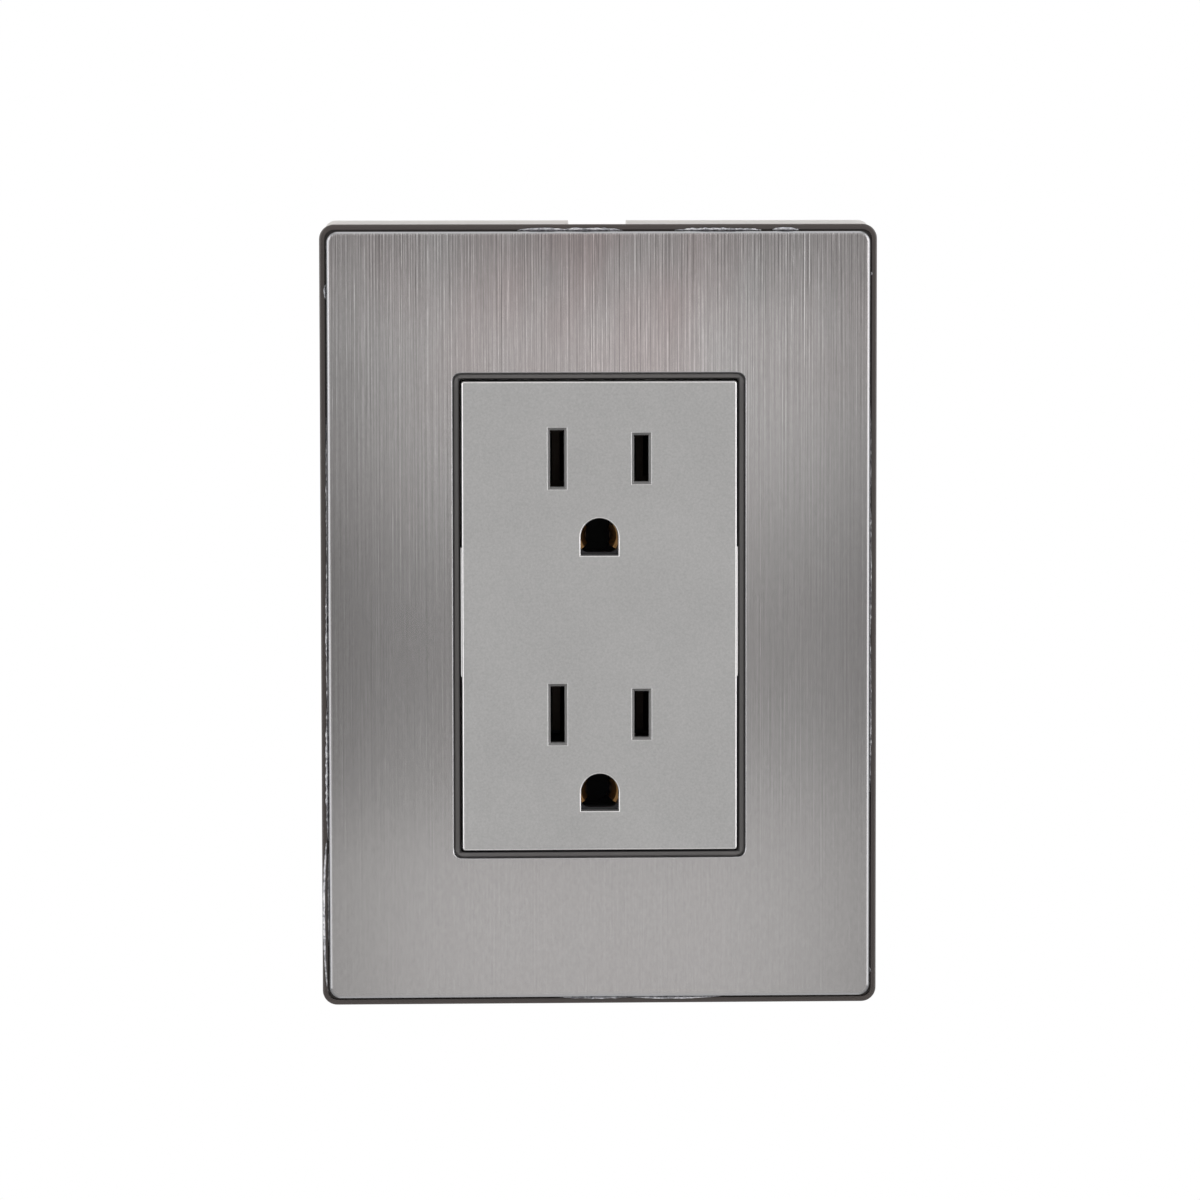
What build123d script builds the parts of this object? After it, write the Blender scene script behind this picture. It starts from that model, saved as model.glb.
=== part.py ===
from build123d import *
import os

# Duplex outlet with a press-on brushed steel cover plate, as an assembly of separate pieces.
#
# Frame, in millimetres: +X to the right and +Z up as seen from the room, +Y into the wall.
# Y = 0 is the wall surface and the rear of the mounting bracket, midway between the two box
# screws. The cover stands at negative Y, and the outlet's housing reaches into the wall box at
# positive Y.

os.makedirs("parts", exist_ok=True)

# ---------------------------------------------------------------- cover dimensions

COVER_W, COVER_H, COVER_R = 84.0, 118.0, 2.2
STEEL_W, STEEL_H, STEEL_R = 81.9, 115.9, 1.7
STEEL_T = 0.6
WINDOW_W, WINDOW_H, WINDOW_R = 44.0, 73.2, 1.15  # opening in the steel
RING_W, RING_H, RING_R = 41.95, 71.45, 0.45  # opening in the carrier frame, inside the window
LIP_T = 0.78  # rim of the carrier frame that shows round the steel
CARRIER_WALL = 1.6
RING_WALL_W, RING_WALL_H, RING_WALL_R = 45.0, 74.4, 1.4
RIB_T = 1.0
TAPE_T = 0.1
FILM_T = 0.14

# Depths of the cover, from the room towards the wall.
STEEL_FACE_Y = -9.0
STEEL_BACK_Y = STEEL_FACE_Y + STEEL_T
STEEL_RIM_Y = -7.5  # rear edge of the folded outer rim
WINDOW_RIM_Y = -8.0  # rear edge of the rim folded in at the window
PLATFORM_Y = STEEL_BACK_Y + TAPE_T  # carrier surface that the steel is taped to
LIP_Y = -8.0
GROOVE_Y = -7.25  # floor of the groove that takes the steel's outer rim
CARRIER_BACK_Y = -6.9  # rear of the carrier's front wall
RIB_BACK_Y = -4.2
RING_BACK_Y = -3.9
CARRIER_REAR_Y = -2.5

# Snap hooks of the cover, and the slots in the bracket that they enter.
HOOK_SITES = [(x, z) for x in (-33.0, 33.0) for z in (-32.0, 32.0)]
HOOK_T, HOOK_H, HOOK_BARB = 1.3, 7.0, 0.5
HOOK_TIP_Y = -0.6
HOOK_SLOT_W, HOOK_SLOT_H = 3.4, 8.0

# ---------------------------------------------------------------- bracket dimensions

BRACKET_W, BRACKET_H, BRACKET_R = 82.6, 118.0, 1.8
BRACKET_T = 2.4
BRACKET_RAISE = 0.6  # the bracket's top edge stands this far above the cover
COLLAR_W, COLLAR_H, COLLAR_FRONT_Y = 45.2, 74.4, -3.7
SEAT_W, SEAT_H = 42.1, 71.4  # takes the skirt of the outlet's face
LEDGE_T = 1.0
BODY_HOLE_W, BODY_HOLE_H = 39.2, 67.6
RIM_T, RIM_FRONT_Y = 1.2, -3.3
BOX_SCREW_Z = 83.3 / 2  # the two screws of a device box stand 83.3 mm apart
ROUND_BOX_X = 60.0 / 2  # the screws of a round box stand 60 mm apart
SLOT_W, SLOT_LENGTH = 4.2, 8.2
PRY_W, PRY_DEPTH, PRY_FRONT_Y = 8.8, 1.7, -4.4  # screwdriver notch, top and bottom

# ---------------------------------------------------------------- outlet dimensions

FACE_W, FACE_H, FACE_R = 41.5, 70.85, 0.4
FACE_Y, FACE_T, FACE_WALL = -9.8, 2.2, 1.38
FACE_BACK_Y = FACE_Y + FACE_T
FACE_REAR_Y = -LEDGE_T - 0.1
EAR_W, EAR_H, EAR_RAISE, EAR_SET_BACK = 41.8, 19.5, 0.65, 0.4
EAR_CHAMFER = 0.12
EAR_BARB_X, EAR_BARB_H = 21.4, 8.0

OUTLET_ZS = (23.8, -14.85)  # height of the middle of the blade slots
BLADE_X = 12.7 / 2
EARTH_DROP = 11.85  # earth hole below the blade slots
NEUTRAL_SLOT = (2.15, 8.55)
HOT_SLOT = (2.2, 7.0)
SLOT_BEVEL_W, SLOT_BEVEL_DEPTH = 0.43, 0.55  # lead-in round each blade slot
SLOT_EDGE_R = 0.12
EARTH_R, EARTH_FLAT, EARTH_EDGE_R = 2.83, 2.76, 0.28

DECK_W, DECK_H, DECK_T = 38.3, 67.4, 1.5
DECK_Y = FACE_BACK_Y + 0.05
DECK_NEUTRAL_SLOT, DECK_HOT_SLOT = (2.7, 9.4), (2.7, 7.8)
DECK_EARTH_HOLE, DECK_EARTH_R, DECK_EARTH_RAISE = (6.2, 5.3), 1.6, 0.23
SHELF_W, SHELF_T, SHELF_BACK_Y = 6.2, 1.0, -1.0  # shelf that guides the earth pin from below

BODY_W, BODY_H = 38.4, 66.8
BODY_FRONT_Y, BODY_REAR_Y = -5.9, 17.5

# Housing screws, and the corners that make room for the bosses they turn into.
HOUSING_SCREW_SITES = [(x, z) for x in (-15.4, 15.4) for z in (-29.6, 29.6)]
HOUSING_SCREW_R, HOUSING_HEAD_R, HOUSING_HEAD_H = 1.3, 2.4, 1.95
HOUSING_HEAD_Y = 10.05
BOSS_R = 2.5
CORNER_SITES = [(x, z) for x in (-16.5, 16.5) for z in (-31.1, 31.1)]
CORNER_W, CORNER_H = 7.6, 8.4

# ---------------------------------------------------------------- contact dimensions

BRASS_T = 0.9
LEAF_T = 0.6
GAP = 0.05  # between pieces that lie on each other
BLADE_STRIP_Y = 9.0  # behind the tip of a fully inserted blade
EARTH_STRIP_Y = 12.2
BLADE_FLOOR_Y = BLADE_STRIP_Y + BRASS_T + GAP  # floors of the body's pockets
EARTH_FLOOR_Y = EARTH_STRIP_Y + BRASS_T + GAP
STRIP_X, STRIP_W, STRIP_H, STRIP_Z = 7.15, 4.9, 46.8, 4.5
EARTH_STRIP_W, EARTH_STRIP_H, EARTH_STRIP_Z = 6.2, 45.0, -7.4
BLADE_GAP = 1.2  # between two leaves at rest, tighter than a blade of 1.5 mm
EARTH_GAP = 3.6  # tighter than an earth pin of 4.8 mm
EARTH_LIP_ANGLE = 76.0  # how far each flared earth lip reaches round the pin
PIN_WINDOW, PIN_WINDOW_R = (4.2, 6.4), 1.4  # opening in the earth strip behind each pin

# Terminals: each is a screw and a clamp plate that presses the wire on the strip.
TERMINAL_X = 13.0
TERMINAL_ZS = (17.0, -8.0)
EARTH_TERMINAL_Z = -7.4
WELL_W, WELL_H = 8.4, 9.0
TAB_X, TAB_W, TAB_H = 13.2, 7.6, 8.0
CLAMP_W, CLAMP_H, CLAMP_T = 7.4, 7.8, 1.1
SCREW_R, SCREW_HEAD_R, SCREW_HEAD_H, SCREW_LENGTH = 1.45, 2.8, 2.0, 8.0
RUNNING = 0.05  # radial clearance of a screw in its thread

# Box screws with a relieved neck under the head, and their washers.
BOX_SCREW_R, BOX_NECK_R, BOX_SCREW_TIP_Y = 1.75, 1.45, 16.8
BOX_HEAD_R, BOX_HEAD_H = 3.4, 2.2
WASHER_R, WASHER_T = 4.0, 0.7
WASHER_FRONT_Y = -BRACKET_T - GAP - WASHER_T

# ---------------------------------------------------------------- shared steps


def facing(y):
    """Sketch plane at depth y that looks at the room: its x is +X and its y is +Z."""
    return Plane(origin=(0, y, 0), x_dir=(1, 0, 0), z_dir=(0, -1, 0))


def slab(size, back, front, radius=0.0, at=((0, 0),), mode=Mode.ADD):
    """Adds or cuts flat blocks of one size, from depth back to depth front."""
    with BuildSketch(facing(back)) as profile:
        with Locations(*at):
            if radius:
                RectangleRounded(*size, radius)
            else:
                Rectangle(*size)
    extrude(profile.sketch, amount=back - front, mode=mode)


def ring(outer, inner, back, front, outer_r, inner_r, mode=Mode.ADD):
    """Adds or cuts a rectangular ring between the sizes outer and inner."""
    with BuildSketch(facing(back)) as profile:
        RectangleRounded(*outer, outer_r)
        RectangleRounded(*inner, inner_r, mode=Mode.SUBTRACT)
    extrude(profile.sketch, amount=back - front, mode=mode)


def rods(radius, back, front, at, mode=Mode.ADD):
    """Adds or cuts round rods or holes from depth back to depth front."""
    with BuildSketch(facing(back)) as profile:
        with Locations(*at):
            Circle(radius)
    extrude(profile.sketch, amount=back - front, mode=mode)


def edges_at(piece, y):
    """The edges of a piece that lie flat at depth y."""
    return piece.edges().filter_by(lambda edge: all(abs(v.Y - y) < 1e-3 for v in edge.vertices()))


def inside(edges, width, height):
    """Those edges whose middle lies within a centred rectangle, seen from the room."""
    return edges.filter_by(lambda e: abs((e @ 0.5).X) < width / 2 and abs((e @ 0.5).Z) < height / 2)


def save(piece, name):
    """Labels a finished piece and writes it under its own name."""
    piece.part.label = name
    export_step(piece.part, f"parts/{name}.step")


# ---------------------------------------------------------------- cover

with BuildPart() as steel_face_panel:
    slab((STEEL_W, STEEL_H), STEEL_RIM_Y, STEEL_FACE_Y, STEEL_R)
    fillet(edges_at(steel_face_panel, STEEL_FACE_Y), STEEL_T)
    hollow = (STEEL_W - 2 * STEEL_T, STEEL_H - 2 * STEEL_T)
    slab(hollow, STEEL_RIM_Y, STEEL_BACK_Y, STEEL_R - STEEL_T, mode=Mode.SUBTRACT)
    window_rim = (WINDOW_W + 2 * STEEL_T, WINDOW_H + 2 * STEEL_T)
    slab(window_rim, WINDOW_RIM_Y, STEEL_BACK_Y, WINDOW_R + STEEL_T)
    slab((WINDOW_W, WINDOW_H), WINDOW_RIM_Y, STEEL_FACE_Y, WINDOW_R, mode=Mode.SUBTRACT)
    fillet(inside(edges_at(steel_face_panel, STEEL_FACE_Y), WINDOW_W + 1, WINDOW_H + 1), STEEL_T / 2)
save(steel_face_panel, "steel_face_panel")

with BuildPart() as carrier_frame:
    slab((COVER_W, COVER_H), CARRIER_REAR_Y, LIP_Y, COVER_R)
    fillet(edges_at(carrier_frame, LIP_Y), 0.3)
    # Platform behind the steel, with a groove round it for the steel's folded rim.
    platform = (STEEL_W - 2 * STEEL_T - 0.4, STEEL_H - 2 * STEEL_T - 0.4)
    platform_r = STEEL_R - STEEL_T
    slab(platform, LIP_Y, PLATFORM_Y, platform_r)
    groove = (COVER_W - 2 * LIP_T, COVER_H - 2 * LIP_T)
    ring(groove, platform, GROOVE_Y, LIP_Y, COVER_R - LIP_T, platform_r, Mode.SUBTRACT)
    hollow = (COVER_W - 2 * CARRIER_WALL, COVER_H - 2 * CARRIER_WALL)
    slab(hollow, CARRIER_REAR_Y, CARRIER_BACK_Y, COVER_R / 2, mode=Mode.SUBTRACT)
    # Wall round the window. Its front edge shows as a dark ring between steel and outlet.
    slab((RING_WALL_W, RING_WALL_H), RING_BACK_Y, CARRIER_BACK_Y, RING_WALL_R)
    slab((RING_W, RING_H), RING_BACK_Y, PLATFORM_Y, RING_R, mode=Mode.SUBTRACT)
    rim_outer = (WINDOW_W + 2 * STEEL_T + 0.4, WINDOW_H + 2 * STEEL_T + 0.4)
    rim_inner = (WINDOW_W - 0.36, WINDOW_H - 0.36)
    ring(rim_outer, rim_inner, WINDOW_RIM_Y + 0.1, PLATFORM_Y, WINDOW_R + 0.8, WINDOW_R, Mode.SUBTRACT)
    fillet(inside(edges_at(carrier_frame, PLATFORM_Y), RING_W + 0.4, RING_H + 0.4), 0.2)
    # Wells that let the box screws back out behind the steel.
    wells = [(0, BOX_SCREW_Z), (0, -BOX_SCREW_Z)]
    rods(WASHER_R + 0.4, CARRIER_BACK_Y, PLATFORM_Y, wells, Mode.SUBTRACT)
    # Stiffening ribs from the window wall to the outer wall.
    rib_length = (COVER_H - RING_WALL_H) / 2 - CARRIER_WALL + 0.4
    rib_sites = [(x, z) for x in (-14.0, 14.0) for z in (-46.9, 46.9)]
    slab((RIB_T, rib_length), RIB_BACK_Y, CARRIER_BACK_Y, at=rib_sites)
    rib_length = (COVER_W - RING_WALL_W) / 2 - CARRIER_WALL + 0.4
    rib_sites = [(x, z) for x in (-31.5, 31.5) for z in (-14.0, 14.0)]
    slab((rib_length, RIB_T), RIB_BACK_Y, CARRIER_BACK_Y, at=rib_sites)
    # Snap hooks: cantilevers with a barb on the outer side of the tip.
    slab((HOOK_T, HOOK_H), HOOK_TIP_Y, CARRIER_BACK_Y, at=HOOK_SITES)
    for x, z in HOOK_SITES:
        side = 1 if x > 0 else -1
        flank = x + side * HOOK_T / 2
        with BuildSketch(Plane.XY.offset(z - HOOK_H / 2)) as barb:
            with BuildLine():
                Polyline(
                    (x, HOOK_TIP_Y),
                    (flank, HOOK_TIP_Y),
                    (flank + side * HOOK_BARB, HOOK_TIP_Y - 0.8),
                    (flank, HOOK_TIP_Y - 1.4),
                    (x, HOOK_TIP_Y - 1.4),
                    close=True,
                )
            make_face()
        extrude(barb.sketch, amount=HOOK_H)
    notch_z = (COVER_H - PRY_DEPTH) / 2
    notches = [(0, notch_z), (0, -notch_z)]
    slab((PRY_W, PRY_DEPTH), CARRIER_REAR_Y, PRY_FRONT_Y, at=notches, mode=Mode.SUBTRACT)
save(carrier_frame, "carrier_frame")

with BuildPart() as adhesive_strips:
    # Two long and two short strips of double-sided tape between the steel and its carrier.
    tape_back, tape_front = PLATFORM_Y - 0.01, STEEL_BACK_Y + 0.01
    slab((12.0, 96.0), tape_back, tape_front, at=[(-31.0, 0), (31.0, 0)])
    slab((40.0, 8.0), tape_back, tape_front, at=[(0, 51.5), (0, -51.5)])
save(adhesive_strips, "adhesive_strips")

with BuildPart() as protective_film_edge:
    # Trimmed rim of the clear film, left in the gap between the steel and the carrier's lip.
    film_inner = (STEEL_W + 0.12, STEEL_H + 0.12)
    film_outer = (film_inner[0] + 2 * FILM_T, film_inner[1] + 2 * FILM_T)
    ring(film_outer, film_inner, GROOVE_Y - 0.1, LIP_Y - 0.5, STEEL_R + FILM_T, STEEL_R)
save(protective_film_edge, "protective_film_edge")

# ---------------------------------------------------------------- mounting bracket

with BuildPart() as mounting_bracket:
    slab((BRACKET_W, BRACKET_H), 0, -BRACKET_T, BRACKET_R, at=[(0, BRACKET_RAISE)])
    # Collar that holds the outlet, and a rim that centres the cover.
    slab((COLLAR_W, COLLAR_H), -BRACKET_T, COLLAR_FRONT_Y, RING_WALL_R)
    rim_outer = (hollow[0] - 0.4, hollow[1] - 0.4)
    rim_inner = (rim_outer[0] - 2 * RIM_T, rim_outer[1] - 2 * RIM_T)
    ring(rim_outer, rim_inner, -BRACKET_T, RIM_FRONT_Y, 0.9, 0.4)
    slab((SEAT_W, SEAT_H), -LEDGE_T, COLLAR_FRONT_Y, 0.5, mode=Mode.SUBTRACT)
    slab((BODY_HOLE_W, BODY_HOLE_H), 0, -LEDGE_T, 0.8, mode=Mode.SUBTRACT)
    # Grooves in the collar for the barbs on the outlet's ears.
    groove_xs = (-EAR_BARB_X + 0.15, EAR_BARB_X - 0.15)
    slab((0.6, EAR_BARB_H + 1), -1.6, -3.4, at=[(x, 0) for x in groove_xs], mode=Mode.SUBTRACT)
    with BuildSketch(facing(0)) as slots:
        with Locations((0, BOX_SCREW_Z), (0, -BOX_SCREW_Z), (-ROUND_BOX_X, 0), (ROUND_BOX_X, 0)):
            SlotOverall(SLOT_LENGTH, SLOT_W)
    extrude(slots.sketch, amount=BRACKET_T, mode=Mode.SUBTRACT)
    hook_slots = [(x + (0.25 if x > 0 else -0.25), z) for x, z in HOOK_SITES]
    slab((HOOK_SLOT_W, HOOK_SLOT_H), 0, -BRACKET_T, at=hook_slots, mode=Mode.SUBTRACT)
    notches = [(0, BRACKET_RAISE + z) for z in (-(BRACKET_H - PRY_DEPTH) / 2, (BRACKET_H - PRY_DEPTH) / 2)]
    slab((PRY_W, PRY_DEPTH), 0, -BRACKET_T, at=notches, mode=Mode.SUBTRACT)
    # Shallow pockets that lighten the plate between the rim and the collar.
    pockets = [(x, z) for x in (-30.5, 30.5) for z in (-14.0, 14.0)]
    slab((8.0, 11.0), -BRACKET_T + 0.9, -BRACKET_T, 0.8, at=pockets, mode=Mode.SUBTRACT)
save(mounting_bracket, "mounting_bracket")

# ---------------------------------------------------------------- outlet housing

with BuildPart() as outlet_face:
    slab((FACE_W, FACE_H), FACE_REAR_Y, FACE_Y, FACE_R)
    fillet(edges_at(outlet_face, FACE_Y), 0.32)
    # Side ears that fill the gap to the cover's window, with barbs that hold in the bracket.
    slab((EAR_W, EAR_H), FACE_REAR_Y, FACE_Y + EAR_SET_BACK, at=[(0, EAR_RAISE)])
    ear_edges = edges_at(outlet_face, FACE_Y + EAR_SET_BACK)
    chamfer(ear_edges.filter_by(lambda edge: abs((edge @ 0.5).X) > EAR_W / 2 - 0.01), EAR_CHAMFER)
    slab((2 * EAR_BARB_X, EAR_BARB_H), -1.8, -3.2)
    cavity = (FACE_W - 2 * FACE_WALL, FACE_H - 2 * FACE_WALL)
    slab(cavity, FACE_REAR_Y, FACE_BACK_Y, mode=Mode.SUBTRACT)
    # Bosses for the housing screws, with blind pilot holes.
    rods(BOSS_R, FACE_REAR_Y, FACE_BACK_Y, HOUSING_SCREW_SITES)
    rods(HOUSING_SCREW_R + GAP, FACE_REAR_Y, FACE_BACK_Y + 0.6, HOUSING_SCREW_SITES, Mode.SUBTRACT)
    for z in OUTLET_ZS:
        slab(NEUTRAL_SLOT, FACE_BACK_Y, FACE_Y, at=[(-BLADE_X, z)], mode=Mode.SUBTRACT)
        slab(HOT_SLOT, FACE_BACK_Y, FACE_Y, at=[(BLADE_X, z)], mode=Mode.SUBTRACT)
        # Earth hole: round at the top and flat at the bottom.
        earth_z = z - EARTH_DROP
        with BuildSketch(facing(FACE_BACK_Y)) as earth_hole:
            with BuildLine():
                CenterArc((0, earth_z), EARTH_R, 0, 180)
                Polyline(
                    (-EARTH_R, earth_z),
                    (-EARTH_R, earth_z - EARTH_FLAT),
                    (EARTH_R, earth_z - EARTH_FLAT),
                    (EARTH_R, earth_z),
                )
            make_face()
        extrude(earth_hole.sketch, amount=FACE_T, mode=Mode.SUBTRACT)
    mouths = inside(edges_at(outlet_face, FACE_Y), FACE_W - 2, FACE_H - 2)
    front = outlet_face.faces().sort_by(Axis.Y)[0]
    slot_mouths = mouths.filter_by(lambda edge: abs((edge @ 0.5).X) > EARTH_R + 1)
    chamfer(slot_mouths, SLOT_BEVEL_W, SLOT_BEVEL_DEPTH, reference=front)
    mouths = inside(edges_at(outlet_face, FACE_Y), FACE_W - 2, FACE_H - 2)
    fillet(mouths.filter_by(lambda edge: abs((edge @ 0.5).X) > EARTH_R + 1), SLOT_EDGE_R)
    fillet(mouths.filter_by(lambda edge: abs((edge @ 0.5).X) < EARTH_R + 1), EARTH_EDGE_R)
save(outlet_face, "outlet_face")

with BuildPart() as contact_deck:
    # Insulating plate that closes the housing behind the face.
    deck_back = DECK_Y + DECK_T
    slab((DECK_W, DECK_H), deck_back, DECK_Y)
    slab((CORNER_W, CORNER_H), deck_back, DECK_Y, at=CORNER_SITES, mode=Mode.SUBTRACT)
    for z in OUTLET_ZS:
        slab(DECK_NEUTRAL_SLOT, deck_back, DECK_Y, at=[(-BLADE_X, z)], mode=Mode.SUBTRACT)
        slab(DECK_HOT_SLOT, deck_back, DECK_Y, at=[(BLADE_X, z)], mode=Mode.SUBTRACT)
        earth_site = (0, z - EARTH_DROP + DECK_EARTH_RAISE)
        slab(DECK_EARTH_HOLE, deck_back, DECK_Y, DECK_EARTH_R, at=[earth_site], mode=Mode.SUBTRACT)
        shelf_z = earth_site[1] - (DECK_EARTH_HOLE[1] + SHELF_T) / 2
        slab((SHELF_W, SHELF_T), SHELF_BACK_Y, DECK_Y, at=[(0, shelf_z)])
save(contact_deck, "contact_deck")

with BuildPart() as outlet_body:
    slab((BODY_W, BODY_H), BODY_REAR_Y, BODY_FRONT_Y, 0.8)
    fillet(edges_at(outlet_body, BODY_REAR_Y), 0.7)
    # Corners cut back for the bosses of the face, and the stepped holes of the housing screws.
    slab((CORNER_W, CORNER_H), FACE_REAR_Y + GAP, BODY_FRONT_Y, at=CORNER_SITES, mode=Mode.SUBTRACT)
    rods(HOUSING_SCREW_R + 0.2, BODY_REAR_Y, FACE_REAR_Y, HOUSING_SCREW_SITES, Mode.SUBTRACT)
    rods(HOUSING_HEAD_R + 0.3, BODY_REAR_Y, HOUSING_HEAD_Y - GAP, HOUSING_SCREW_SITES, Mode.SUBTRACT)
    for side in (-1, 1):
        # Pocket of the hot or the neutral contacts, open to the front.
        strip_pocket = (STRIP_W + 0.6, STRIP_H + 1.2)
        slab(strip_pocket, BLADE_FLOOR_Y, BODY_FRONT_Y, at=[(side * STRIP_X, STRIP_Z)], mode=Mode.SUBTRACT)
        slab((8.0, 38.4), BLADE_FLOOR_Y, BODY_FRONT_Y, at=[(side * 13.4, STRIP_Z)], mode=Mode.SUBTRACT)
        # Wells of the terminals, open to the rear, and side slots where the wires enter.
        well_sites = [(side * TERMINAL_X, z) for z in TERMINAL_ZS]
        slab((WELL_W, WELL_H), BODY_REAR_Y, BLADE_FLOOR_Y - 0.2, at=well_sites, mode=Mode.SUBTRACT)
        with BuildSketch(Plane.YZ.offset(side * 16.5)) as wire_slots:
            with Locations(*[(BLADE_FLOOR_Y + 1.25, z) for z in TERMINAL_ZS]):
                RectangleRounded(2.5, CLAMP_H, 0.5)
        extrude(wire_slots.sketch, amount=side * 3.0, mode=Mode.SUBTRACT)
    earth_pocket = (EARTH_STRIP_W + 0.8, EARTH_STRIP_H + 2.6)
    slab(earth_pocket, EARTH_FLOOR_Y, BODY_FRONT_Y, at=[(0, EARTH_STRIP_Z)], mode=Mode.SUBTRACT)
    earth_well = [(0, EARTH_TERMINAL_Z)]
    slab((WELL_W, WELL_H), BODY_REAR_Y, EARTH_FLOOR_Y - 0.2, at=earth_well, mode=Mode.SUBTRACT)
    # Open channel for the earth wire, and a moulded gauge for stripping wires.
    slab((5.0, 24.0), BODY_REAR_Y, 14.6, at=[(0, -22.5)], mode=Mode.SUBTRACT)
    slab((1.2, 9.0), BODY_REAR_Y, BODY_REAR_Y - 0.5, at=[(-2.5, 22.0), (2.5, 22.0)], mode=Mode.SUBTRACT)
save(outlet_body, "outlet_body")

with BuildPart() as housing_screws:
    # Four self-tapping screws that hold the body to the face.
    head_rear = HOUSING_HEAD_Y + HOUSING_HEAD_H
    rods(HOUSING_HEAD_R, head_rear, HOUSING_HEAD_Y, HOUSING_SCREW_SITES)
    fillet(edges_at(housing_screws, head_rear), 0.6)
    rods(HOUSING_SCREW_R, HOUSING_HEAD_Y, FACE_REAR_Y - 5.0, HOUSING_SCREW_SITES)
    for size in ((3.0, 0.7), (0.7, 3.0)):
        slab(size, head_rear, head_rear - 1.0, at=HOUSING_SCREW_SITES, mode=Mode.SUBTRACT)
save(housing_screws, "housing_screws")

# ---------------------------------------------------------------- contacts


def leaf(points, height, z):
    """Adds one spring leaf: sheet brass bent along the points, seen from above."""
    with BuildSketch(Plane.XY.offset(z - height / 2)) as profile:
        with BuildLine() as bend:
            Polyline(*points)
        trace(bend.line, LEAF_T)
    extrude(profile.sketch, amount=height)


def blade_busbar(side, leaf_height):
    """Strip with two pairs of spring leaves and two terminal tabs, on one side of the outlet."""
    with BuildPart() as busbar:
        strip_back = BLADE_STRIP_Y + BRASS_T
        slab((STRIP_W, STRIP_H), strip_back, BLADE_STRIP_Y, at=[(side * STRIP_X, STRIP_Z)])
        slab((TAB_W, TAB_H), strip_back, BLADE_STRIP_Y, at=[(side * TAB_X, z) for z in TERMINAL_ZS])
        screw_sites = [(side * TERMINAL_X, z) for z in TERMINAL_ZS]
        rods(SCREW_R + RUNNING, strip_back, BLADE_STRIP_Y, screw_sites, Mode.SUBTRACT)
        middle, throat = side * BLADE_X, (BLADE_GAP + LEAF_T) / 2
        for z in OUTLET_ZS:
            for hand in (-1, 1):
                bends = (
                    (middle + hand * 1.6, BLADE_STRIP_Y + 0.2),
                    (middle + hand * 1.6, 6.5),
                    (middle + hand * throat, -1.6),
                    (middle + hand * throat, -2.6),
                    (middle + hand * 1.55, -4.9),
                )
                leaf(bends, leaf_height, z)
    return busbar


save(blade_busbar(1, 5.8), "hot_busbar")
save(blade_busbar(-1, 7.2), "neutral_busbar")

with BuildPart() as earth_busbar:
    strip_back = EARTH_STRIP_Y + BRASS_T
    slab((EARTH_STRIP_W, EARTH_STRIP_H), strip_back, EARTH_STRIP_Y, 1.0, at=[(0, EARTH_STRIP_Z)])
    rods(SCREW_R + RUNNING, strip_back, EARTH_STRIP_Y, [(0, EARTH_TERMINAL_Z)], Mode.SUBTRACT)
    windows = [(0, z - EARTH_DROP) for z in OUTLET_ZS]
    slab(PIN_WINDOW, strip_back, EARTH_STRIP_Y, PIN_WINDOW_R, at=windows, mode=Mode.SUBTRACT)
    throat = (EARTH_GAP + LEAF_T) / 2
    for z in OUTLET_ZS:
        pin_z = z - EARTH_DROP
        pin_axis = Axis((0, 0, pin_z), (0, 1, 0))
        for hand in (-1, 1):
            bends = (
                (hand * 2.6, EARTH_STRIP_Y + 0.2),
                (hand * 2.6, 9.0),
                (hand * throat, 0.5),
                (hand * throat, -2.4),
            )
            leaf(bends, 3.4, pin_z)
            # Flared lip that follows the round pin.
            with BuildSketch(Plane.XY.offset(pin_z)) as lip:
                with BuildLine():
                    Polyline(
                        (hand * (EARTH_GAP / 2 + 0.02), -2.2),
                        (hand * (EARTH_GAP / 2 + LEAF_T), -2.2),
                        (hand * 3.25, -5.2),
                        (hand * 2.72, -5.2),
                        close=True,
                    )
                make_face()
            revolve(lip.sketch.rotate(pin_axis, -EARTH_LIP_ANGLE / 2), pin_axis, EARTH_LIP_ANGLE)
save(earth_busbar, "earth_busbar")

# ---------------------------------------------------------------- screws, clamps and washers


def driver_recess(back, front, width, site):
    """Cuts a long slot and a short cross slot in a screw head."""
    slab((width, 0.8), back, front, at=[site], mode=Mode.SUBTRACT)
    slab((0.8, 3.2), back, front, at=[site], mode=Mode.SUBTRACT)


def terminal(name, x, z, strip_rear_y):
    """Clamp plate and screw on the rear of a strip. The screw's head faces away from the room."""
    clamp_front = strip_rear_y + GAP
    clamp_rear = clamp_front + CLAMP_T
    with BuildPart() as clamp:
        slab((CLAMP_W, CLAMP_H), clamp_rear, clamp_front, 0.5, at=[(x, z)])
        chamfer(edges_at(clamp, clamp_rear), 0.25)
        # Two ribs on the rear keep the screw head centred.
        rib_x = SCREW_HEAD_R + GAP + 0.4
        slab((0.8, CLAMP_H - 1.6), clamp_rear + 0.5, clamp_rear, at=[(x - rib_x, z), (x + rib_x, z)])
        rods(SCREW_R + 0.15, clamp_rear, clamp_front, [(x, z)], Mode.SUBTRACT)
    save(clamp, f"{name}_clamp")

    head_front = clamp_rear + GAP
    head_rear = head_front + SCREW_HEAD_H
    with BuildPart() as screw:
        rods(SCREW_HEAD_R, head_rear, head_front, [(x, z)])
        fillet(edges_at(screw, head_rear), 0.6)
        rods(SCREW_R, head_front, head_front - SCREW_LENGTH, [(x, z)])
        chamfer(edges_at(screw, head_front - SCREW_LENGTH), 0.4)
        driver_recess(head_rear, head_rear - 1.1, 2 * SCREW_HEAD_R + 1, (x, z))
    save(screw, f"{name}_screw")


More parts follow.
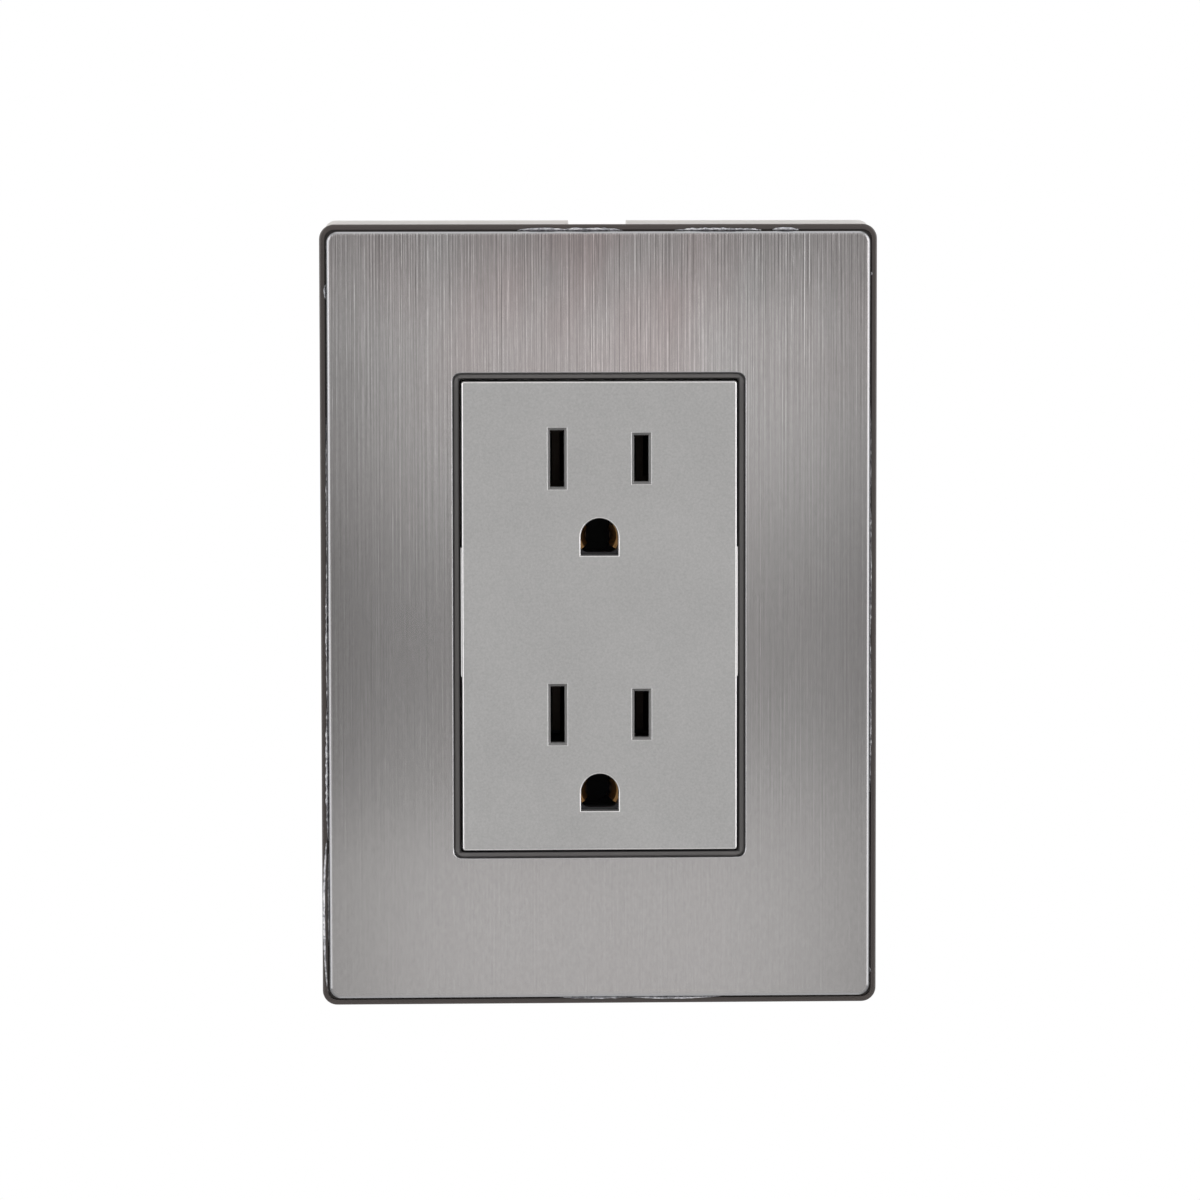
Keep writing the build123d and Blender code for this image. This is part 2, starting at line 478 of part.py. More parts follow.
BLADE_STRIP_REAR_Y = BLADE_STRIP_Y + BRASS_T
for pole, side in (("hot", 1), ("neutral", -1)):
    for level, terminal_z in zip(("upper", "lower"), TERMINAL_ZS):
        terminal(f"{pole}_{level}", side * TERMINAL_X, terminal_z, BLADE_STRIP_REAR_Y)
terminal("earth", 0, EARTH_TERMINAL_Z, EARTH_STRIP_Y + BRASS_T)

for level, z in (("upper", BOX_SCREW_Z), ("lower", -BOX_SCREW_Z)):
    site = (0, z)
    with BuildPart() as washer:
        rods(WASHER_R, WASHER_FRONT_Y + WASHER_T, WASHER_FRONT_Y, [site])
        rods(BOX_SCREW_R + 0.2, WASHER_FRONT_Y + WASHER_T, WASHER_FRONT_Y, [site], Mode.SUBTRACT)
    save(washer, f"{level}_box_washer")

    head_rear = WASHER_FRONT_Y - GAP
    head_front = head_rear - BOX_HEAD_H
    with BuildPart() as screw:
        rods(BOX_HEAD_R, head_rear, head_front, [site])
        fillet(edges_at(screw, head_front), 0.9)
        rods(BOX_NECK_R, 0, head_rear, [site])
        rods(BOX_SCREW_R, BOX_SCREW_TIP_Y, 0, [site])
        chamfer(edges_at(screw, BOX_SCREW_TIP_Y), 0.5)
        driver_recess(head_front + 1.2, head_front, 2 * BOX_HEAD_R + 1, site)
    save(screw, f"{level}_box_screw")
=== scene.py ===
import math
import random

import bmesh
import bpy
from mathutils import Matrix, Vector


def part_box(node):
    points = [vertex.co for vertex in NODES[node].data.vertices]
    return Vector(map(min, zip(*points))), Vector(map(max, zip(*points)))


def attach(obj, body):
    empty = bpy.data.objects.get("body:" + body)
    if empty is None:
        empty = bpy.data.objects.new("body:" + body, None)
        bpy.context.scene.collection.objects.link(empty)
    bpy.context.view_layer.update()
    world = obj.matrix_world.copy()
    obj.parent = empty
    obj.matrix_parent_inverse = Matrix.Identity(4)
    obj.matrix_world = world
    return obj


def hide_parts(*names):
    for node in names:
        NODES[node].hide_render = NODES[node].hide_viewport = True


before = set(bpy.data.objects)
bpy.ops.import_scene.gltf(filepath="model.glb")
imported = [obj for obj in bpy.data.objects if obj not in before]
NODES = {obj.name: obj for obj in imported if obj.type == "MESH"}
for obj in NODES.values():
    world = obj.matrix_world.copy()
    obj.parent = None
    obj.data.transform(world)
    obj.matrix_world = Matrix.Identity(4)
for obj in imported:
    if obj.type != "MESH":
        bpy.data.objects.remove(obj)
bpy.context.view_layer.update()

MM = 0.001
panel_low, panel_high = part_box("steel_face_panel")
PANEL_CENTRE = (panel_low + panel_high) / 2
PANEL_W, PANEL_H = panel_high.x - panel_low.x, panel_high.z - panel_low.z


# ------------------------------------------------------------------ camera, floor and light

CAMERA_DISTANCE = 0.80
CAMERA_AZIMUTH = math.radians(-2.2)
CAMERA_ELEVATION = math.radians(3.84)
CAMERA_ROLL = math.radians(-0.09)
CAMERA_AIM = Vector((0.15, 1.0, 2.3)) * MM  # from the panel's centre
CAMERA_LENS, SENSOR_WIDTH = 158.7, 36.0  # mm
WHITE = (1.0, 1.0, 1.0, 1.0)


def add_camera():
    """A long lens a little above and to the left of the plate."""
    back = Vector((
        math.sin(CAMERA_AZIMUTH) * math.cos(CAMERA_ELEVATION),
        -math.cos(CAMERA_AZIMUTH) * math.cos(CAMERA_ELEVATION),
        math.sin(CAMERA_ELEVATION),
    ))
    data = bpy.data.cameras.new("camera")
    data.lens = CAMERA_LENS
    data.sensor_width = SENSOR_WIDTH
    data.clip_start, data.clip_end = 0.01, 50.0
    camera = bpy.data.objects.new("camera", data)
    bpy.context.scene.collection.objects.link(camera)
    camera.location = PANEL_CENTRE + CAMERA_AIM + back * CAMERA_DISTANCE
    turn = (-back).to_track_quat("-Z", "Y").to_matrix() @ Matrix.Rotation(CAMERA_ROLL, 3, "Z")
    camera.rotation_euler = turn.to_euler()
    bpy.context.scene.camera = camera


class Graph:
    """Short calls for building a node tree."""

    def __init__(self, tree):
        self.tree = tree
        tree.nodes.clear()

    def node(self, kind, **settings):
        made = self.tree.nodes.new(kind)
        for name, value in settings.items():
            setattr(made, name, value)
        return made

    def set(self, socket, value):
        """Gives a socket a value, or links it to another node's socket."""
        if isinstance(value, bpy.types.NodeSocket):
            self.tree.links.new(value, socket)
        else:
            socket.default_value = value

    def math(self, operation, first, second=0.0, third=0.0, clamp=False):
        made = self.node("ShaderNodeMath", operation=operation, use_clamp=clamp)
        for socket, value in zip(made.inputs, (first, second, third)):
            self.set(socket, value)
        return made.outputs[0]

    def map_range(self, value, low, high, to_low=0.0, to_high=1.0, smooth=False):
        made = self.node("ShaderNodeMapRange", clamp=True)
        made.interpolation_type = "SMOOTHSTEP" if smooth else "LINEAR"
        for name, item in (("Value", value), ("From Min", low), ("From Max", high),
                           ("To Min", to_low), ("To Max", to_high)):
            self.set(made.inputs[name], item)
        return made.outputs["Result"]

    def ramp(self, value, stops, ease="LINEAR"):
        """A colour ramp. Each stop is a place from 0 to 1 and a grey level or a colour."""
        made = self.node("ShaderNodeValToRGB")
        made.color_ramp.interpolation = ease
        elements = made.color_ramp.elements
        while len(elements) < len(stops):
            elements.new(0.5)
        for element, (place, level) in zip(elements, stops):
            element.position = place
            element.color = (level, level, level, 1) if isinstance(level, float) else (*level, 1)
        self.set(made.inputs["Fac"], value)
        return made.outputs["Color"]

    def mix(self, share, first, second, blend="MIX"):
        made = self.node("ShaderNodeMix", data_type="RGBA", blend_type=blend, clamp_factor=True)
        self.set(made.inputs["Factor"], share)
        colours = [socket for socket in made.inputs if socket.type == "RGBA"]
        for socket, value in zip(colours, (first, second)):
            self.set(socket, value)
        return next(socket for socket in made.outputs if socket.type == "RGBA")

    def grey(self, level):
        """A colour with the same level in all three channels."""
        made = self.node("ShaderNodeCombineColor")
        for socket in made.inputs[:3]:
            self.set(socket, level)
        return made.outputs[0]

    def tinted(self, colour, tone):
        """A plain colour, made lighter or darker by tone."""
        made = self.node("ShaderNodeCombineColor")
        for socket, value in zip(made.inputs, colour):
            self.set(socket, self.math("MULTIPLY", tone, value))
        return made.outputs[0]

    def axes(self, vector):
        """The X, Y and Z of a vector."""
        made = self.node("ShaderNodeSeparateXYZ")
        self.set(made.inputs[0], vector)
        return made.outputs[:3]

    def noise(self, vector, detail=2.0, roughness=0.5, distortion=0.0):
        """Noise with one cell in each unit of its vector."""
        made = self.node("ShaderNodeTexNoise", noise_dimensions="3D")
        for name, item in (("Vector", vector), ("Scale", 1.0), ("Detail", detail),
                           ("Roughness", roughness), ("Distortion", distortion)):
            self.set(made.inputs[name], item)
        return made.outputs["Fac"]

    def place(self, per_mm=(1.0, 1.0, 1.0), offset=(0.0, 0.0, 0.0)):
        """The object's own coordinates, scaled so that one unit is 1 / per_mm millimetres."""
        coordinates = self.node("ShaderNodeTexCoord").outputs["Object"]
        made = self.node("ShaderNodeMapping")
        self.set(made.inputs["Vector"], coordinates)
        made.inputs["Location"].default_value = offset
        made.inputs["Scale"].default_value = [value / MM for value in per_mm]
        return made.outputs["Vector"]

    def bump(self, height, strength, distance_mm):
        made = self.node("ShaderNodeBump")
        made.inputs["Strength"].default_value = strength
        made.inputs["Distance"].default_value = distance_mm * MM
        self.set(made.inputs["Height"], height)
        return made.outputs["Normal"]

    def light_or_seen(self, lit, seen):
        """One shader for the light that falls on things, another for what the camera sees."""
        both = self.node("ShaderNodeMixShader")
        self.set(both.inputs["Fac"], self.node("ShaderNodeLightPath").outputs["Is Camera Ray"])
        self.set(both.inputs[1], lit.outputs[0])
        self.set(both.inputs[2], seen.outputs[0])
        return both.outputs[0]


# Brightness of the studio in front of the plate, by the sine of the elevation: softboxes above and
# below the camera's height, with a darker gap between them.
STUDIO = (
    (-0.24, 0.80), (-0.150, 0.62), (-0.130, 0.80), (-0.115, 0.93), (-0.100, 0.46), (-0.088, 0.28),
    (-0.074, 0.21), (-0.060, 0.33), (-0.046, 0.70), (-0.030, 0.81), (-0.012, 0.74), (0.004, 0.59),
    (0.040, 0.35), (0.090, 0.55), (0.20, 0.80),
)
# The bright walls at the left and right, and how bright both are for matt surfaces.
LEFT_WALL, RIGHT_WALL = (3.6, 3.6, 3.7, 1.0), (4.4, 4.4, 4.5, 1.0)
WALL_ON_MATT = (1.3, 1.3, 1.32, 1.0)
# Brightness of the room behind the plate, from low down to high up.
ROOM = ((0.0, 0.30), (0.5, 0.60), (1.0, 1.10))
FLOOR_SIZE, FLOOR_Z = 1.8, -0.30
FLOOR_COLOUR, FLOOR_SEEN = (0.65, 0.65, 0.65, 1.0), (0.93, 0.93, 0.93, 1.0)


def add_world():
    """Soft studio light from all round, seen by the camera as plain white."""
    world = bpy.data.worlds.new("studio")
    bpy.context.scene.world = world
    world.use_nodes = True
    g = Graph(world.node_tree)
    x, y, z = g.axes(g.node("ShaderNodeTexCoord").outputs["Generated"])
    low, high = STUDIO[0][0], STUDIO[-1][0]
    stops = [((sine - low) / (high - low), level) for sine, level in STUDIO]
    front = g.ramp(g.map_range(z, low, high), stops, "B_SPLINE")
    light = g.mix(g.map_range(y, -0.80, -0.35, smooth=True), front, WHITE)
    # The walls are dimmer below the plate's middle. They are narrow, so they shine on its edges
    # and add little light to matt plastic.
    wall = g.mix(g.map_range(x, -0.2, 0.2), LEFT_WALL, RIGHT_WALL)
    wall = g.mix(g.node("ShaderNodeLightPath").outputs["Is Diffuse Ray"], wall, WALL_ON_MATT)
    fading = g.math("MULTIPLY", g.map_range(z, -0.16, 0.02, 0.45, 1.0),
                    g.map_range(y, -0.25, 0.10, 1.0, 0.0, smooth=True))
    beside = g.map_range(g.math("ABSOLUTE", x), 0.50, 0.80, smooth=True)
    light = g.mix(g.math("MULTIPLY", beside, fading), light, wall)
    behind = g.map_range(y, 0.05, 0.45, smooth=True)
    light = g.mix(behind, light, g.ramp(g.map_range(z, -0.6, 0.9), ROOM))
    lit = g.node("ShaderNodeBackground")
    g.set(lit.inputs["Color"], light)
    seen = g.node("ShaderNodeBackground")
    seen.inputs["Color"].default_value = WHITE
    g.set(g.node("ShaderNodeOutputWorld").inputs["Surface"], g.light_or_seen(lit, seen))


def add_floor():
    """A pale floor well below the plate. The camera sees it nearly as bright as the world."""
    bpy.ops.mesh.primitive_plane_add(size=FLOOR_SIZE, location=(0, 0, FLOOR_Z))
    floor = bpy.context.object
    floor.name = "floor"
    made = bpy.data.materials.new("floor_white")
    made.use_nodes = True
    g = Graph(made.node_tree)
    shader = g.node("ShaderNodeBsdfPrincipled")
    shader.inputs["Base Color"].default_value = FLOOR_COLOUR
    shader.inputs["Roughness"].default_value = 1.0
    seen = g.node("ShaderNodeEmission")
    seen.inputs["Color"].default_value = FLOOR_SEEN
    g.set(g.node("ShaderNodeOutputMaterial").inputs["Surface"], g.light_or_seen(shader, seen))
    floor.data.materials.append(made)


add_camera()
add_world()
add_floor()
bpy.context.scene.view_settings.view_transform = "Standard"


# ------------------------------------------------------------------ materials


def material(name):
    """A new material: its graph, and its Principled shader already joined to the output."""
    made = bpy.data.materials.new(name)
    made.use_nodes = True
    g = Graph(made.node_tree)
    shader = g.node("ShaderNodeBsdfPrincipled")
    g.set(g.node("ShaderNodeOutputMaterial").inputs["Surface"], shader.outputs[0])
    return made, g, shader


# Up the sheet from its bottom, 0, to its top, 1: how deep the brush lines are, how much painted
# shade darkens the long edges, where painted shade makes the left half darker, and where the lines
# are fainter at the right.
LINE_DEPTH = ((0.0, 0.06), (0.17, 0.06), (0.32, 0.15), (0.51, 0.19), (0.70, 0.31), (0.83, 0.56),
              (0.89, 0.76), (0.95, 1.10))
EDGE_SHADE = ((0.45, 0.24), (0.58, 0.31), (0.82, 0.31), (0.90, 0.22), (0.96, 0.12))
LEFT_SHADE = ((0.18, 0.0), (0.30, 1.0), (0.80, 1.0), (0.93, 0.1))
RIGHT_FAINTER = ((0.52, 0.0), (0.60, 1.0), (0.72, 1.0), (0.84, 0.0))
# The sheet's colour in its darkest lines, between lines, and in its brightest ones.
STEEL_COLOURS = ((0.0, (0.22, 0.208, 0.203)), (0.5, (0.49, 0.475, 0.468)),
                 (1.0, (0.84, 0.827, 0.818)))
STEEL_PINK = (0.94, 0.77, 0.765, 1.0)
# The pressed edges' colour, and the painted shade on those that face sideways.
STEEL_EDGE, STEEL_SIDE_EDGE_SHADE = (0.46, 0.46, 0.47, 1.0), (0.26, 0.26, 0.265, 1.0)


def brushed_steel():
    """Stainless sheet with fine vertical brush lines, strongest in the upper half."""
    made, g, shader = material("brushed_steel")
    x, _, z = g.axes(g.place())
    height = g.map_range(z, -60.0, 60.0)
    from_middle = g.math("ABSOLUTE", x)

    def lines(per_mm, along_mm, offset, spacing_mm, detail=1.0):
        """Thin lines along Z: a stretched noise less the same noise one line further on."""
        here = g.noise(g.place((per_mm, per_mm, along_mm), offset), detail=detail)
        shifted = (offset[0] + spacing_mm * per_mm, offset[1], offset[2])
        beside = g.noise(g.place((per_mm, per_mm, along_mm), shifted), detail=detail)
        return g.math("SUBTRACT", here, beside)

    def breaks(per_mm, along_mm, offset):
        """Strength of the lines: it changes along each line and from one line to the next."""
        cells = g.noise(g.place((per_mm, per_mm, along_mm), offset))
        return g.map_range(cells, 0.35, 0.65, 0.1, 1.9)

    hair = g.math("MULTIPLY", lines(8.0, 0.020, (0.0, 0.0, 0.0), 0.22),
                  breaks(3.0, 0.22, (5.1, 0.0, 6.4)))
    line = g.math("MULTIPLY", lines(5.2, 0.017, (7.3, 0.0, 2.1), 0.26, detail=2.0),
                  breaks(2.2, 0.14, (3.9, 0.0, 8.8)))
    wide = g.noise(g.place((0.5, 0.5, 0.02), (1.7, 0, 5.2)), detail=2.0)
    streaks = g.math("MULTIPLY_ADD", hair, 1.6, g.math("MULTIPLY", line, 1.4))
    # Where a bright and a dark line add up, the bright one wins.
    streaks = g.math("ADD", streaks, g.map_range(streaks, 0.25, 0.9, 0.0, 0.18))
    streaks = g.math("MULTIPLY_ADD", g.math("SUBTRACT", wide, 0.55), 0.5, streaks)
    # The lines are cut deep near the top and fade towards the bottom.
    fainter = g.math("MULTIPLY", g.map_range(x, 8.0, 28.0, 0.0, 0.45),
                     g.ramp(height, RIGHT_FAINTER))
    depth = g.math("MULTIPLY", g.ramp(height, LINE_DEPTH), g.math("SUBTRACT", 1.0, fainter))
    swing = g.math("MULTIPLY", streaks, depth)
    level = g.math("MULTIPLY_ADD", swing, 0.50, 0.5, clamp=True)
    colour = g.ramp(level, STEEL_COLOURS)
    # Faint pink clouds where the lines are deep, most of all over the window.
    cloud = g.noise(g.place((0.10, 0.10, 0.05), (0.2, 0, 3.7)), detail=1.0)
    pink = g.math("MULTIPLY", g.map_range(cloud, 0.20, 0.80),
                  g.map_range(from_middle, 30.0, 5.0, 0.35, 1.0, smooth=True))
    pink = g.math("MULTIPLY", pink, g.math("MINIMUM", depth, 0.75))
    colour = g.mix(pink, colour, STEEL_PINK, "MULTIPLY")
    # Painted shade makes the sheet darker towards its long edges, along the top, and half way up at
    # the left.
    side = g.math("POWER", g.map_range(from_middle, 14.0, 41.0), 1.8)
    painted_shade_and_mottle = g.math("SUBTRACT", 1.0, g.math("MULTIPLY", side, g.ramp(height, EDGE_SHADE)))
    painted_shade_and_mottle = g.math("MULTIPLY", painted_shade_and_mottle, g.map_range(z, 40.0, 60.0, 1.0, 0.72, smooth=True))
    lean = g.math("MULTIPLY", g.map_range(x, -42.0, 0.0, -0.13, 0.02), g.ramp(height, LEFT_SHADE))
    painted_shade_and_mottle = g.math("MULTIPLY", painted_shade_and_mottle, g.math("ADD", lean, 1.0))
    mottle = g.noise(g.place((2.4, 2.4, 1.1), (4.4, 0, 1.3)), detail=1.0)
    painted_shade_and_mottle = g.math("MULTIPLY", painted_shade_and_mottle, g.map_range(mottle, 0.0, 1.0, 0.93, 1.07))
    colour = g.mix(1.0, colour, g.grey(painted_shade_and_mottle), "MULTIPLY")
    # The pressed edges have no brush lines; painted shade makes the ones that face sideways
    # darkest.
    normal = g.node("ShaderNodeNewGeometry").outputs["True Normal"]
    facing_x, facing_y, _ = g.axes(normal)
    sideways = g.map_range(g.math("ABSOLUTE", facing_x), 0.0, 0.3)
    edge_colour = g.mix(sideways, STEEL_EDGE, STEEL_SIDE_EDGE_SHADE)
    edge = g.map_range(facing_y, -0.99, -0.80)
    g.set(shader.inputs["Base Color"], g.mix(edge, colour, edge_colour))
    shader.inputs["Metallic"].default_value = 1.0
    g.set(shader.inputs["Roughness"], g.math("MULTIPLY_ADD", swing, 0.03, 0.20))
    shader.inputs["Anisotropic"].default_value = 1.0
    # Brush lines run up the sheet, so they spread its highlights sideways.
    across = g.node("ShaderNodeVectorMath", operation="CROSS_PRODUCT")
    across.inputs[0].default_value = (0.0, 0.02, 1.0)
    g.set(across.inputs[1], normal)
    g.set(shader.inputs["Tangent"], across.outputs["Vector"])
    return made


def plastic(name, colour, roughness, grain_mm=0.12, grain=0.05, bump=0.0, metallic=0.0, rim=0.0):
    """Moulded plastic with a fine grain in its colour, its gloss and its surface.

    grain and bump say how strong the grain is in the colour and the surface. metallic is for paint
    with metal flakes, and rim says how much a painted highlight brightens the rounded rims of the
    holes.
    """
    made, g, shader = material(name)
    speckle = g.noise(g.place((1 / grain_mm,) * 3), detail=3.0, roughness=0.6)
    cloud = g.noise(g.place((0.09,) * 3, (3.1, 4.7, 0.4)), detail=2.0)
    tone = g.math("MULTIPLY_ADD", g.math("SUBTRACT", speckle, 0.5), grain, 1.0)
    tone = g.math("MULTIPLY_ADD", g.math("SUBTRACT", cloud, 0.5), grain * 0.3, tone)
    if rim:
        # Painted highlight on the rounded rims of the holes, and painted shade on the steep slopes
        # inside them.
        _, facing_y, _ = g.axes(g.node("ShaderNodeNewGeometry").outputs["Normal"])
        slope = g.map_range(facing_y, -1.0, -0.55)
        rim_light_and_slope_shade = ((0.0, 1.0), (0.06, 1.0), (0.22, rim), (0.55, rim), (0.80, 0.72), (1.0, 0.72))
        tone = g.math("MULTIPLY", tone, g.ramp(slope, rim_light_and_slope_shade))
    g.set(shader.inputs["Base Color"], g.tinted(colour, tone))
    g.set(shader.inputs["Roughness"], g.math("MULTIPLY_ADD", speckle, 0.12, roughness - 0.06))
    shader.inputs["Metallic"].default_value = metallic
    if bump:
        g.set(shader.inputs["Normal"], g.bump(speckle, bump, 0.02))
    return made


# The grey front of the ring round the window, and the painted shade on its inner walls.
RING_GREY, RING_SHADE = (0.142, 0.134, 0.130, 1.0), (0.010, 0.009, 0.009, 1.0)
BRONZE_BROWN = (0.050, 0.040, 0.036, 1.0)


def bronze_plastic():
    """Dark moulding of the cover: brown on the outer lip, grey round the window, with painted shade
    on the ring's inner walls.
    """
    made, g, shader = material("bronze_plastic")
    speckle = g.noise(g.place((7.0, 7.0, 7.0)), detail=3.0, roughness=0.6)
    x, _, z = g.axes(g.place())
    across, up = g.math("ABSOLUTE", x), g.math("ABSOLUTE", z)
    # The front of the ring round the window is grey; its inner walls have painted shade, nearly
    # black.
    front = g.math("MAXIMUM", g.map_range(across, 21.15, 21.32), g.map_range(up, 35.82, 35.99))
    outside = g.math("MAXIMUM", g.map_range(across, 22.5, 26.0), g.map_range(up, 37.1, 41.0))
    colour = g.mix(outside, g.mix(front, RING_SHADE, RING_GREY), BRONZE_BROWN)
    tone = g.grey(g.math("MULTIPLY_ADD", speckle, 0.3, 0.85))
    g.set(shader.inputs["Base Color"], g.mix(1.0, colour, tone, "MULTIPLY"))
    g.set(shader.inputs["Roughness"], g.math("MULTIPLY_ADD", speckle, 0.12, 0.32))
    g.set(shader.inputs["Normal"], g.bump(speckle, 0.1, 0.02))
    return made


METAL_GRAIN = 1 / 0.3  # scratches in each mm
# Painted shade on metal deep inside the outlet.
DEEP_SHADE = (0.045, 0.040, 0.046, 1.0)


def metal(name, colour, roughness, dark=None):
    """Rolled or plated metal with faint blotches and fine scratches.

    dark gives depths in mm along Y, in order, and how much painted shade darkens the metal at each.
    """
    made, g, shader = material(name)
    blotch = g.noise(g.place((0.5, 0.5, 0.5)), detail=4.0, roughness=0.6)
    scratch = g.noise(g.place((0.3, METAL_GRAIN, METAL_GRAIN)), detail=3.0)
    finish = g.tinted(colour, g.math("MULTIPLY_ADD", g.math("SUBTRACT", blotch, 0.5), 0.24, 0.94))
    if dark:
        _, y, _ = g.axes(g.place())
        low, high = dark[0][0], dark[-1][0]
        stops = [((depth - low) / (high - low), share) for depth, share in dark]
        # Painted shade, by depth along Y.
        finish = g.mix(g.ramp(g.map_range(y, low, high), stops), finish, DEEP_SHADE)
    g.set(shader.inputs["Base Color"], finish)
    shader.inputs["Metallic"].default_value = 1.0
    g.set(shader.inputs["Roughness"], g.math("MULTIPLY_ADD", scratch, 0.25, roughness - 0.1))
    g.set(shader.inputs["Normal"], g.bump(scratch, 0.15, 0.01))
    return made


STEEL = brushed_steel()
BRONZE = bronze_plastic()
CREAM = plastic("cream_plastic", (0.90, 0.875, 0.835), 0.42, grain=0.10, bump=0.15)
# The silver paint has a painted highlight on the rims of its holes and painted shade on their
# slopes.
SILVER = plastic("silver_paint", (0.418, 0.412, 0.404), 0.38, grain_mm=0.30, grain=0.42, bump=0.15,
                 metallic=0.6, rim=1.7)
BLACK = plastic("black_plastic", (0.018, 0.018, 0.020), 0.5, grain_mm=0.25, grain=0.3, bump=0.3)
TAPE = plastic("tape", (0.72, 0.71, 0.66), 0.7, grain_mm=0.4, grain=0.15)
YELLOW_BRASS = (0.72, 0.50, 0.22)
BRASS = metal("brass", YELLOW_BRASS, 0.32)
# The contacts have painted shade deep inside the outlet where they grip, apart from the flared lips
# of the earth contact.
BLADE_BRASS = metal("blade_brass", YELLOW_BRASS, 0.40, dark=((3.0, 0.97), (9.5, 0.94), (9.85, 0.0)))
EARTH_BRASS = metal("earth_brass", (0.66, 0.37, 0.15), 0.50,
                    dark=((-5.3, 0.0), (-3.2, 0.2), (-2.2, 1.0), (12.7, 1.0), (13.05, 0.0)))
ZINC = metal("zinc", (0.66, 0.66, 0.64), 0.35)
GREEN = metal("green_screw", (0.05, 0.34, 0.11), 0.38)
DRESS = {  # what the CAD nodes are made of; clamps, washers and the other screws are zinc
    "steel_face_panel": STEEL,
    "carrier_frame": BRONZE,
    "adhesive_strips": TAPE,
    "protective_film_edge": TAPE,
    "mounting_bracket": CREAM,
    "outlet_face": SILVER,
    "contact_deck": BLACK,
    "outlet_body": BLACK,
    "hot_busbar": BLADE_BRASS,
    "neutral_busbar": BLADE_BRASS,
    "earth_busbar": EARTH_BRASS,
    "hot_upper_screw": BRASS,
    "hot_lower_screw": BRASS,
    "earth_screw": GREEN,
}

for node in NODES:
    slots = NODES[node].data.materials
    slots.clear()
    slots.append(DRESS.get(node, ZINC))


def new_piece(name, mesh):
    """Turns a finished bmesh into an object of the scene."""
    bmesh.ops.recalc_face_normals(mesh, faces=mesh.faces)
    data = bpy.data.meshes.new(name)
    mesh.to_mesh(data)
    mesh.free()
    piece = bpy.data.objects.new(name, data)
    bpy.context.scene.collection.objects.link(piece)
    return piece


# ------------------------------------------------------------------ film left in the groove

STEEL_HALF_W, STEEL_HALF_H = PANEL_W / 2 / MM, PANEL_H / 2 / MM
STEEL_FRONT = panel_low.y / MM
FILM_ROOT_Y = STEEL_FRONT + 1.5  # inside the groove beside the steel
FILM_ROOT_GAP = 0.08  # from the steel's edge to the film
FILM_REACH = 0.9  # from the film's root forwards to the lip

# What is left of the torn film: side, start and end along that side from its middle, how far the
# torn edge leans out over the lip, how far it stands up from the lip, how crumpled it is, and the
# share of its width that has torn away next to the groove.
FILM = (
    ("left", 47.8, 50.0, 0.30, 0.25, 0.05, 0.0),
    ("left", 30.0, 8.0, 0.10, 0.15, 0.10, 0.0),
    ("left", 9.0, -14.0, 0.22, 0.30, 0.16, 0.0),
    ("left", -13.0, -34.0, 0.34, 0.35, 0.14, 0.0),
    ("left", -33.0, -57.4, 0.90, 0.30, 0.04, 0.80),
    ("left", -36.0, -50.0, 0.10, 0.20, 0.06, 0.0),
    ("right", 51.2, 51.8, 0.20, 0.20, 0.05, 0.0),
    ("right", 32.0, 16.0, 0.06, 0.12, 0.06, 0.0),
    ("right", 17.0, -4.0, 0.14, 0.20, 0.12, 0.0),
    ("right", -3.0, -27.0, 0.16, 0.20, 0.12, 0.0),
    ("right", -53.8, -54.5, 0.22, 0.25, 0.05, 0.0),
    ("top", -12.2, -4.6, 0.42, 0.30, 0.06, 0.0),
    ("top", -6.5, 3.6, 0.40, 0.35, 0.14, 0.0),
    ("top", 11.5, 24.5, 0.36, 0.35, 0.24, 0.0),
    ("top", 26.2, 30.2, 0.46, 0.35, 0.14, 0.0),
    ("bottom", -6.0, 5.0, 0.16, 0.25, 0.10, 0.0),
    ("bottom", 4.0, 18.5, 0.26, 0.20, 0.05, 0.0),
)
FILM_SIDES = {  # where a side lies, which way is out, and which way runs along it
    "left": (Vector((-STEEL_HALF_W, 0, 0)), Vector((-1, 0, 0)), Vector((0, 0, 1))),
    "right": (Vector((STEEL_HALF_W, 0, 0)), Vector((1, 0, 0)), Vector((0, 0, 1))),
    "top": (Vector((0, 0, STEEL_HALF_H)), Vector((0, 0, 1)), Vector((1, 0, 0))),
    "bottom": (Vector((0, 0, -STEEL_HALF_H)), Vector((0, 0, -1)), Vector((1, 0, 0))),
}
FILM_STEP, FILM_ROWS, FILM_THICK, FILM_SEED = 0.22, 7, 0.02, 7


def add_ribbon(mesh, rng, side, start, end, lean, rise, crumple, torn):
    """Adds one line of FILM to a mesh, in rows from its root in the groove to its torn edge."""
    edge, out, along = FILM_SIDES[side]
    count = max(4, int(abs(end - start) / FILM_STEP))
    folds = [[rng.uniform(-1, 1) for _ in range(count + 1)] for _ in range(FILM_ROWS)]
    rows = []
    for i in range(count + 1):
        place = start + (end - start) * i / count
        fade = math.sin(math.pi * min(max(i / count, 0.02), 0.98)) ** 0.5
        row = []
        for j in range(FILM_ROWS):
            up = torn + (1 - torn) * j / (FILM_ROWS - 1)
            # Neighbouring folds are averaged, so the film bends and doesn't bristle.
            near = folds[j][max(i - 1, 0)] + 2 * folds[j][i] + folds[j][min(i + 1, count)]
            shift = crumple * near / 4 * up
            distance = FILM_ROOT_GAP + fade * lean * up ** 2 + max(shift, -FILM_ROOT_GAP / 2)
            reach = fade * (FILM_REACH + rise) * math.sin(up * math.pi / 2)
            depth = FILM_ROOT_Y - reach + 0.6 * shift
            point = PANEL_CENTRE / MM + edge + out * distance + along * place
            row.append(mesh.verts.new(Vector((point.x, depth, point.z)) * MM))
        rows.append(row)
    for first, second in zip(rows, rows[1:]):
        for j in range(FILM_ROWS - 1):
            mesh.faces.new((first[j], second[j], second[j + 1], first[j + 1]))


